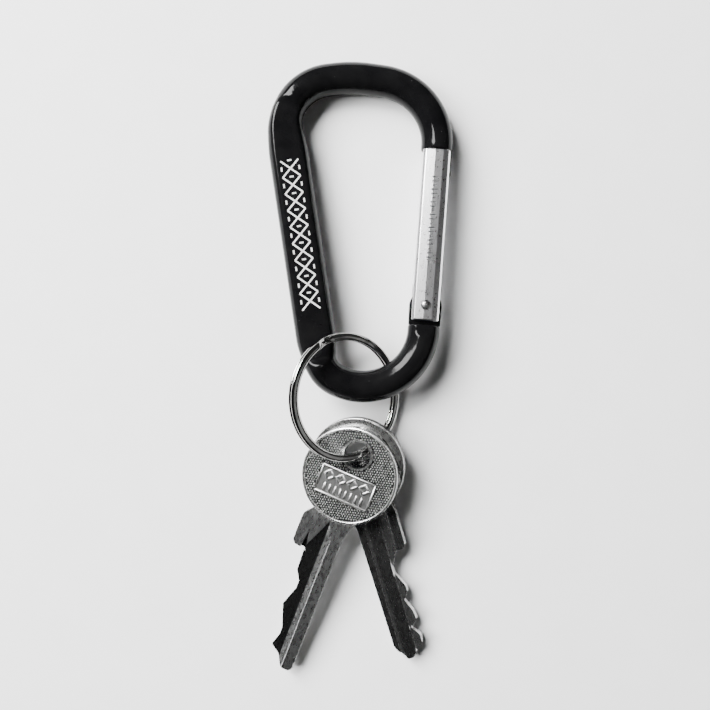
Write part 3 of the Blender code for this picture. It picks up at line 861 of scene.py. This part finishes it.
def build_gate():
    """The gate bar with its slots, bore and a row of small stamped dashes along its ridge."""
    section = gate_section()
    rings = []
    for end, direction in ((GATE_LOW, 1), (GATE_HIGH, -1)):
        stations = []
        for step in range(5):
            angle = math.pi / 2 * step / 4
            y = end + direction * GATE_EDGE * (1 - math.cos(angle))
            stations.append((y, 1 - 2 * GATE_EDGE / GATE_WIDTH * (1 - math.sin(angle))))
        rings += stations if direction > 0 else stations[::-1]
    lofted = loft([[(x * scale, y, -z * scale) for x, z in section] for y, scale in rings])
    gate = new_object("gate_bar", *lofted, carabiner_matrix() @ gate_matrix(), 25)
    wide = 2 * GATE_WIDTH
    hinge_slot = (-HINGE_SLOT / 2, HINGE_SLOT / 2)
    nose_slot = (-NOSE_SLOT / 2, NOSE_SLOT / 2)
    cut(gate, *box((-wide, wide), (2 * GATE_LOW, HINGE_SLOT_HIGH), hinge_slot))
    cut(gate, *box((NOSE_SLOT_INNER, wide), (NOSE_SLOT_LOW, 2 * GATE_HIGH), nose_slot))
    bore = [(BORE_RADIUS, HINGE_SLOT_HIGH - BORE_OVERLAP), (BORE_RADIUS, BORE_END)]
    cut(gate, *turned_along_y(bore, 32))
    cut(gate, *prism(circle(RIVET_RADIUS + RIVET_CLEARANCE, 48), -ROD, ROD))
    outlines = []
    for index in range(STAMP_COUNT):
        y = STAMP_START + (STAMP_END - STAMP_START) * index / (STAMP_COUNT - 1)
        reach = STAMP_REACH if index % 3 else STAMP_SHORT_REACH
        outlines.append(rectangle(STAMP_X - reach, STAMP_X + reach, y, y + STAMP_WIDTH))
    top = GATE_THICKNESS / 2
    cut(gate, *joined_prisms(outlines, top - STAMP_DEPTH, top + MM))
    crisp(gate, 25)
    return gate


def build_rivet():
    """The hinge pin with domed heads."""
    shoulder = RIVET_LENGTH / 2 - RIVET_DOME
    side = []
    for step in range(9):
        angle = math.pi / 2 * step / 8
        radius = max(RIVET_RADIUS * math.cos(angle), RIVET_TIP)
        side.append((radius, shoulder + RIVET_DOME * math.sin(angle)))
    profile = [(radius, -z) for radius, z in reversed(side)] + side
    rings = [[(x, y, z) for x, y in circle(radius, 40)] for radius, z in profile]
    return new_object("hinge_rivet", *loft(rings), carabiner_matrix() @ gate_matrix(), 60)


def build_spring():
    """The gate's spring: a coil of round wire in the gate's bore."""
    steps = 30 * SPRING_TURNS
    low = SPRING_LOW + SPRING_WIRE / 2
    rise = SPRING_HIGH - SPRING_LOW - SPRING_WIRE
    rings = []
    for step in range(steps + 1):
        share = step / steps
        angle = 2 * math.pi * SPRING_TURNS * share
        outward = Vector((math.cos(angle), 0, math.sin(angle)))
        centre = outward * SPRING_RADIUS + Vector((0, low + rise * share, 0))
        section = circle(SPRING_WIRE / 2, 12)
        rings.append([centre + outward * x + Vector((0, y, 0)) for x, y in section])
    matrix = carabiner_matrix() @ gate_matrix()
    spring = new_object("coil_spring", *loft(rings), matrix, 50)
    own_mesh(spring)
    return spring


# ---- split ring ----

def build_ring():
    """Two coils of oval wire, with tapered ends and one climbing stretch."""
    middle = RING_RADIUS - RING_WIRE_WIDTH / 2
    climb_start = RING_END_ANGLE + 2 * math.pi
    climb_end = climb_start + RING_JOGGLE
    start = RING_END_ANGLE + RING_JOGGLE + RING_END_GAP
    end = RING_END_ANGLE + 4 * math.pi - RING_END_GAP
    section = oval(RING_WIRE_WIDTH, RING_WIRE_HEIGHT, RING_WIRE_ROUNDNESS, 28)
    steps = round((end - start) / RING_STEP)
    rings = []
    for step in range(steps + 1):
        angle = start + (end - start) * step / steps
        height = RING_COIL_PITCH * (blend(angle, climb_start, climb_end) - 0.5)
        near_end = min(angle - start, end - angle)
        size = RING_END_SIZE + (1 - RING_END_SIZE) * blend(near_end, 0, RING_TAPER)
        outward = Vector((math.cos(angle), math.sin(angle), 0))
        ring = []
        for across, up in section:
            ring.append(outward * (middle + across * size) + Vector((0, 0, height + up * size)))
        rings.append(ring[::-1])
    return new_object("split_ring_wire", *loft(rings), ring_matrix(), 50)


# ---- keys ----

class Key:
    """Sizes and place of one key. The bitting side is +x; mirrored turns it over to -x.

    The hole is its height above the bow's centre, its radius and half the length of its slot.
    """

    def __init__(self, name, joint, heading, bow_radius, rim, hole, blade, grooves, wedge, mirrored):
        self.name = name
        self.bow_radius = bow_radius
        self.rim = rim
        self.wedge = wedge
        self.hole_y, self.hole_radius, self.hole_reach = hole
        self.blade = blade
        self.grooves = grooves
        self.side = -1 if mirrored else 1
        self.matrix = key_matrix(joint, math.radians(heading), (self.hole_reach, self.hole_y))

    def turned(self, points):
        """Points drawn for a bitting side of +x, turned over if the key is mirrored."""
        return [(self.side * x, y) for x, y in points][::self.side]

    def blade_outline(self):
        """The blade with its root inside the bow, counter-clockwise."""
        points = filleted([(x * MM, -y * MM) for x, y in reversed(self.blade)], OUTLINE_FILLET, 4)
        radius = self.bow_radius - self.rim / 2
        first = math.atan2(points[-1][1], points[-1][0])
        last = math.atan2(points[0][1], points[0][0])
        return self.turned(points + arc((0, 0), radius, first, last - first, 16))

    def hole(self, margin=0.0):
        """The ring hole: a circle, or a slot with round ends."""
        radius = self.hole_radius + margin
        if self.hole_reach == 0:
            return circle(radius, 4 * HOLE_STEPS, (0, self.hole_y))
        points = []
        for end in (1, -1):
            centre = (end * self.hole_reach, self.hole_y)
            points += arc(centre, radius, -end * math.pi / 2, math.pi, HOLE_STEPS)
        return points

    def near_hole(self, x, y, margin):
        """Whether a point lies within the hole and its rim."""
        aside = max(0.0, abs(x) - self.hole_reach)
        return math.hypot(aside, y - self.hole_y) < self.hole_radius + margin


def coin(radius, rim):
    """The bow: a disc with a rounded rim standing above its two recessed faces."""
    half = KEY_THICKNESS / 2
    field = half - FIELD_DEPTH
    inner = radius - rim
    side = [  # from the field over the rim to the disc's edge
        (inner, field), (inner + 0.10 * MM, half - 0.08 * MM), (inner + 0.22 * MM, half),
        (radius - 0.36 * MM, half), (radius - 0.12 * MM, half - 0.10 * MM), (radius, half - 0.34 * MM),
    ]
    profile = [(r, -z) for r, z in side] + side[::-1]
    rings = [[(x, y, z) for x, y in circle(r, BOW_POINTS)] for r, z in profile]
    return loft(rings)


def above(points, height):
    """A cutter's two upper corners, over the last and the first of its lower points."""
    return [(*points[-1][:2], height), (*points[0][:2], height)]


def groove_cutter(profile, start, run_out, end):
    """A milled groove's cutter: (across, depth) points, running out in an arc at its start."""
    half = KEY_THICKNESS / 2 - BLADE_STEP
    deepest = max(depth for _, depth in profile)
    rings = []
    for step in range(13):
        share = step / 12
        raised = deepest * (1 - share) ** 2
        y = -(start + run_out * share)
        rings.append((y, raised))
    rings.append((-end, 0.0))
    sections = []
    for y, raised in rings:
        lower = [(x * MM, y * MM, half - (depth - raised) * MM) for x, depth in profile]
        sections.append(lower + above(lower, half + 3 * MM))
    return loft(sections)


def wedge_cutter(profile, apex, length, end):
    """Cutter of a groove that starts at a point and widens along its length to its full profile."""
    half = KEY_THICKNESS / 2 - BLADE_STEP
    sections = []
    stations = [(max(share, 0.02), apex[1] + share * length) for share in (0.0, 0.25, 0.5, 1.0)]
    for share, y in stations + [(1.0, end)]:
        points = []
        for index, (x, depth) in enumerate(profile):
            widened = min(1.0, 2 * share) if index < 3 else share
            deepened = min(1.0, 0.3 + 1.4 * share)
            across = apex[0] + (x - apex[0]) * widened
            points.append((across * MM, -y * MM, half - depth * deepened * MM))
        sections.append(points + above(points, 2 * half))
    return loft(sections)


def mirrored_shape(vertices, faces, side, over=1):
    """A closed shape turned over to the other side or the other face."""
    moved = [(side * x, y, over * z) for x, y, z in vertices]
    if side * over < 0:
        faces = [tuple(reversed(face)) for face in faces]
    return moved, faces


def build_key(key):
    """A key's metal: bow with raised rims, ring hole, blade and its milled grooves on both faces."""
    half = KEY_THICKNESS / 2
    blade = prism(key.blade_outline(), BLADE_STEP - half, half - BLADE_STEP)
    body = new_object(key.name + "_metal", *blade, key.matrix)
    for face, profile, start, run_out in key.grooves:
        groove = groove_cutter(profile, start, run_out, CUT_END)
        cut(body, *mirrored_shape(*groove, key.side, face))
    if key.wedge:
        wedge = wedge_cutter(key.wedge, WEDGE_APEX, WEDGE_LENGTH, CUT_END)
        cut(body, *mirrored_shape(*wedge, key.side))
        outline = [(x * MM, y * MM) for x, y in SLIT]
        cut(body, *prism(key.turned(outline), SLIT_FLOOR, KEY_THICKNESS))
    soften(body, KEY_EDGE, 2, 30)
    cut(body, *coin(key.bow_radius, key.rim), "UNION")
    boss = key.hole(HOLE_RIM_WIDTH)
    cut(body, *prism(boss, HOLE_RIM_DROP - half, half - HOLE_RIM_DROP), "UNION")
    cut(body, *prism(key.hole(), -2 * half, 2 * half))
    crisp(body, 32)
    return body


def dot(x, y, low, face, radius, height):
    """A little knurl point standing on a face: closed, with its foot inside the metal."""
    rings = []
    for scale, rise in ((1.0, -RELIEF_FOOT), (0.85, 0.6 * height), (0.45, height)):
        ring = [(x + scale * a, y + scale * b) for a, b in circle(radius, 6)]
        rings.append([(a, b, face * (low + rise)) for a, b in ring[::face]])
    return loft(rings)


def on_panel(x, y):
    """Whether a point lies on the panel or in the bare strip around it."""
    beside = abs(x) < PANEL_WIDTH / 2 + PANEL_MOAT
    return beside and abs(y - PANEL_Y) < PANEL_HEIGHT / 2 + PANEL_MOAT


def build_face(key, panel):
    """The bow's relief on both faces: rows of knurl points and, if asked for, a bordered panel."""
    low = KEY_THICKNESS / 2 - FIELD_DEPTH
    reach = key.bow_radius - key.rim - 0.6 * KNURL_RADIUS
    rows = int(reach / KNURL_ROW) + 1
    turn = Matrix.Rotation(KNURL_TURN, 2)
    shapes = []
    for row in range(-rows, rows + 1):
        for column in range(-rows, rows + 1):
            x, y = turn @ Vector(((column + 0.5 * (row % 2)) * KNURL_PITCH, row * KNURL_ROW))
            if math.hypot(x, y) > reach or key.near_hole(x, y, HOLE_RIM_WIDTH + KNURL_RADIUS):
                continue
            if panel and on_panel(x, y):
                continue
            for face in (1, -1):
                shapes.append(dot(x, y, low, face, KNURL_RADIUS, KNURL_HEIGHT))
    if panel:
        for face in (1, -1):
            shapes += [mirrored_shape(*shape, 1, face) for shape in panel_shapes(low)]
    return new_object(key.name + "_relief", *joined(shapes), key.matrix, 50)


def ridge(start, end, low, width, height):
    """A raised bar with sloping sides and rounded ends, its foot inside the metal."""
    start, end = Vector(start), Vector(end)
    along = (end - start).normalized()
    turn = math.atan2(along.y, along.x)
    outline = []
    for centre, first in ((end, turn - math.pi / 2), (start, turn + math.pi / 2)):
        for step in range(7):
            outline.append((centre, first + math.pi * step / 6))
    rings = []
    for scale, rise in ((1.0, -RELIEF_FOOT), (0.86, 0.85 * height), (0.66, height)):
        ring = []
        for centre, angle in outline:
            ring.append((centre.x + scale * width / 2 * math.cos(angle),
                         centre.y + scale * width / 2 * math.sin(angle), low + rise))
        rings.append(ring)
    return loft(rings)


def panel_shapes(low):
    """A flat plate with a raised border, and a row of diamonds over a row of upright bars."""
    outline = rounded_rectangle(PANEL_WIDTH, PANEL_HEIGHT, PANEL_CORNER, 5)
    plate = [(x, y + PANEL_Y) for x, y in outline]
    shapes = [prism(plate, low - RELIEF_FOOT, low + PANEL_RAISE)]
    reach_x = PANEL_WIDTH / 2 - PANEL_STROKE / 2
    reach_y = PANEL_HEIGHT / 2 - PANEL_STROKE / 2
    corners = rectangle(-reach_x, reach_x, PANEL_Y - reach_y, PANEL_Y + reach_y)
    for start, end in zip(corners, corners[1:] + corners[:1]):
        shapes.append(ridge(start, end, low, PANEL_STROKE, PANEL_BORDER))
    for index in range(DIAMOND_COUNT):
        centre = Vector(((index - (DIAMOND_COUNT - 1) / 2) * DIAMOND_PITCH, PANEL_Y + DIAMOND_Y))
        across = Vector((DIAMOND_HALF_WIDTH, 0))
        up = Vector((0, DIAMOND_HALF_HEIGHT))
        tips = [centre + across, centre + up, centre - across, centre - up]
        for start, end in zip(tips, tips[1:] + tips[:1]):
            shapes.append(ridge(start, end, low + PANEL_RAISE, MOTIF_STROKE, PANEL_MOTIF))
    for index in range(BAR_COUNT):
        x = (index - (BAR_COUNT - 1) / 2) * BAR_PITCH
        ends = ((x, PANEL_Y + BAR_LOW), (x, PANEL_Y + BAR_HIGH))
        shapes.append(ridge(*ends, low + PANEL_RAISE, MOTIF_STROKE, PANEL_MOTIF))
    return shapes


# ---- camera, light, floor ----

def add_camera():
    """A camera straight above the object."""
    camera = bpy.data.cameras.new("camera")
    camera.lens = CAMERA_LENS
    camera.sensor_width = CAMERA_SENSOR
    camera.clip_start = 0.01
    camera.dof.use_dof = False
    holder = bpy.data.objects.new("camera", camera)
    holder.location = CAMERA_PLACE
    bpy.context.collection.objects.link(holder)
    bpy.context.scene.camera = holder


def add_light(name, direction, distance, size, energy, mirrored=True):
    """An area light that faces the object. Shiny surfaces mirror it only if it is mirrored."""
    light = bpy.data.lights.new(name, "AREA")
    light.shape = "RECTANGLE"
    light.size, light.size_y = size
    light.energy = energy
    holder = bpy.data.objects.new(name, light)
    holder.location = Vector(direction).normalized() * distance
    holder.rotation_euler = (-holder.location).to_track_quat("-Z", "Y").to_euler()
    holder.visible_glossy = mirrored
    bpy.context.collection.objects.link(holder)


def add_world(zenith, horizon):
    """A dim room whose walls are lighter than its ceiling."""
    world = bpy.data.worlds.new("room")
    world.use_nodes = True
    nodes = world.node_tree.nodes
    links = world.node_tree.links
    split = nodes.new("ShaderNodeSeparateXYZ")
    links.new(nodes.new("ShaderNodeTexCoord").outputs["Generated"], split.inputs["Vector"])
    ramp = nodes.new("ShaderNodeMapRange")
    ramp.inputs["From Min"].default_value = 0.15
    ramp.inputs["From Max"].default_value = 0.80
    ramp.inputs["To Min"].default_value = horizon
    ramp.inputs["To Max"].default_value = zenith
    links.new(split.outputs["Z"], ramp.inputs["Value"])
    links.new(ramp.outputs["Result"], nodes["Background"].inputs["Color"])
    bpy.context.scene.world = world


def add_floor():
    """A plain pale tabletop."""
    height = cad_box[0][2] - FLOOR_GAP
    mesh = bpy.data.meshes.new("floor")
    square = rectangle(-FLOOR_HALF, FLOOR_HALF, -FLOOR_HALF, FLOOR_HALF)
    corners = [(x, y, height) for x, y in square]
    mesh.from_pydata(corners, [], [(0, 1, 2, 3)])
    floor = bpy.data.objects.new("floor", mesh)
    bpy.context.collection.objects.link(floor)
    look = Surface("floor_look", (0.86, 0.86, 0.86), 0.0, 0.55)
    tone = look.levels(look.noise((90, 90, 90), 3.0), 0.3, 0.7)
    look.set("Base Color", look.mix(tone, (0.86, 0.86, 0.86), (0.885, 0.885, 0.885)))
    look.shader.inputs["Specular IOR Level"].default_value = 0.2
    mesh.materials.append(look.material)


def dress(node, look):
    """Give a CAD piece that stays a better surface."""
    for material_slot in frame["nodes"][node].material_slots:
        material_slot.link = "OBJECT"
        material_slot.material = look


def main():
    """Build every piece, the camera, the light and the floor."""
    black = black_anodised()
    steel = spring_steel()
    # Front key's nickel silver: its recess tones paint shade into the bow's knurled field and, through
    # recess_from, into the wedge groove on the bitting side.
    key_bright = key_metal("key_bright_look", tone=0.88, blade_tone=0.74, bow_recess_shade=0.22,
                           blade_recess_painted_tone=0.17, roughness=0.27, recess_from=-0.1 * MM)
    # A lighter copy of the front key's metal for its raised relief: painted light on the points, border
    # and motif, with painted shade on the low plate and the feet of the points.
    lit_key_relief = key_metal("key_relief_painted_light_look", tone=0.96, blade_tone=0.74, bow_recess_shade=0.20,
                            blade_recess_painted_tone=0.20, roughness=0.32, recess_from=-0.1 * MM)
    # A darker copy of the same nickel silver for the rear key: painted shade, darkest on the blade,
    # with its knurled bow field painted near black as shade and its blade grooves painted lighter as
    # painted highlights.
    shaded_key_metal = key_metal("key_painted_shade_look", tone=0.70, blade_tone=0.38, bow_recess_shade=0.05,
                         blade_recess_painted_tone=0.62, roughness=0.27, recess_from=ALL_RECESSES)
    # The rear key's relief in a dark copy of the same metal: painted shade, with its recesses painted
    # near black.
    shaded_key_relief = key_metal("key_relief_painted_shade_look", tone=0.30, blade_tone=0.30, bow_recess_shade=0.05,
                          blade_recess_painted_tone=0.05, roughness=0.32, recess_from=ALL_RECESSES)
    install(build_carabiner(), black, "carabiner", "black_anodised", "carabiner_body")
    install(build_band(), white_print(), "carabiner", None)
    install(build_gate(), polished_aluminium(), "gate_assembly", "polished_aluminium", "gate")
    install(build_rivet(), steel, "gate_assembly", "spring_steel", "gate_rivet")
    install(build_spring(), steel, "gate_assembly", "spring_steel", "gate_spring")
    dress("gate_plunger", steel)
    install(build_ring(), nickel_plate(), "ring", "nickel_plate", "split_ring")
    front = Key("front_key", "front_key_turn", heading=-21.06, bow_radius=11.5 * MM, rim=0.8 * MM,
                hole=(5.35 * MM, 3.2 * MM, 0.0), blade=FRONT_BLADE, grooves=FRONT_GROOVES,
                wedge=WEDGE, mirrored=True)
    rear = Key("rear_key", "rear_key_turn", heading=16.3, bow_radius=11.6 * MM, rim=2.2 * MM,
               hole=(4.8 * MM, 3.3 * MM, 4.2 * MM), blade=REAR_BLADE, grooves=REAR_GROOVES,
               wedge=None, mirrored=False)
    install(build_key(front), key_bright, "upper_key", "nickel_silver", "front_key")
    install(build_face(front, True), lit_key_relief, "upper_key", "nickel_silver")
    install(build_key(rear), shaded_key_metal, "lower_key", "nickel_silver", "rear_key")
    install(build_face(rear, False), shaded_key_relief, "lower_key", "nickel_silver")
    add_camera()
    add_light("window", (-0.88, 1.02, 1.16), 0.90, size=(0.30, 0.60), energy=26.0)
    add_light("sky", (-1.0, 0.22, 0.85), 1.10, size=(0.62, 0.62), energy=34.0, mirrored=False)
    add_light("bounce", (1.0, -0.3, 0.8), 0.90, size=(0.5, 0.5), energy=0.25)
    add_world(zenith=0.012, horizon=0.06)
    add_floor()


main()
